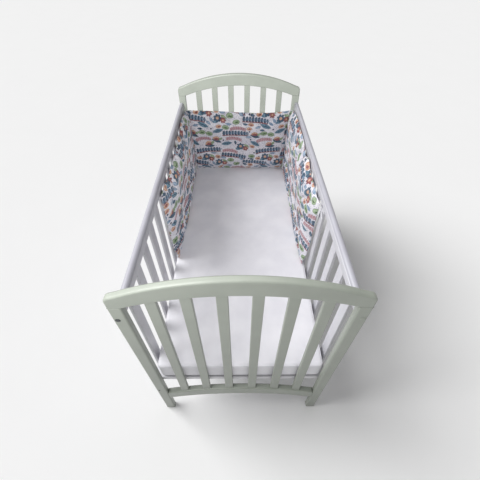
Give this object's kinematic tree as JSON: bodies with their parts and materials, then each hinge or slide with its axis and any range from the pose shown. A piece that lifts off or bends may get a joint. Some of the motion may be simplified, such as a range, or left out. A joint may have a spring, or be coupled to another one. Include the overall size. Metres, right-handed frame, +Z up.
{
  "type": "crib bumper on a crib",
  "caption": "Long padded cotton crib bumper standing in a U round the head end of a slatted wooden crib, tied to its slats, on the crib's mattress.",
  "frame": {"origin": "on the floor under the middle of the crib's outline", "axes": "+Z up, +Y from the foot end to the head end, +X to the right seen from the foot end"},
  "size_m": [0.66, 1.25, 1.0235],
  "materials": {
    "painted_sage": "satin sage-green paint on smooth wood",
    "painted_white": "satin white paint on smooth wood",
    "base_board": "white sealed board",
    "mattress_cover": "plain white cotton cover",
    "printed_cotton": "plain-woven white cotton with a small watercolour-like print, softly padded",
    "tie_tape": "white cotton tape"
  },
  "bodies": {
    "root": {"foot_top_rail": "painted_sage", "foot_bottom_rail": "painted_sage", "foot_leg_left": "painted_sage", "foot_leg_right": "painted_sage", "foot_slat_1": "painted_sage", "foot_slat_2": "painted_sage", "foot_slat_3": "painted_sage", "foot_slat_4": "painted_sage", "foot_slat_5": "painted_sage", "foot_slat_6": "painted_sage", "head_top_rail": "painted_sage", "head_bottom_rail": "painted_sage", "head_leg_left": "painted_sage", "head_leg_right": "painted_sage", "head_slat_1": "painted_sage", "head_slat_2": "painted_sage", "head_slat_3": "painted_sage", "head_slat_4": "painted_sage", "head_slat_5": "painted_sage", "head_slat_6": "painted_sage", "left_top_rail": "painted_white", "left_bottom_rail": "painted_white", "left_slat_01": "painted_white", "left_slat_02": "painted_white", "left_slat_03": "painted_white", "left_slat_04": "painted_white", "left_slat_05": "painted_white", "left_slat_06": "painted_white", "left_slat_07": "painted_white", "left_slat_08": "painted_white", "left_slat_09": "painted_white", "left_slat_10": "painted_white", "left_slat_11": "painted_white", "left_slat_12": "painted_white", "left_slat_13": "painted_white", "right_top_rail": "painted_white", "right_bottom_rail": "painted_white", "right_slat_01": "painted_white", "right_slat_02": "painted_white", "right_slat_03": "painted_white", "right_slat_04": "painted_white", "right_slat_05": "painted_white", "right_slat_06": "painted_white", "right_slat_07": "painted_white", "right_slat_08": "painted_white", "right_slat_09": "painted_white", "right_slat_10": "painted_white", "right_slat_11": "painted_white", "right_slat_12": "painted_white", "right_slat_13": "painted_white", "base_board": "base_board", "mattress": "mattress_cover", "bumper": "printed_cotton", "tie_right_end": "tie_tape", "tie_right_middle": "tie_tape", "tie_left_end": "tie_tape"}
  },
  "joints": []
}
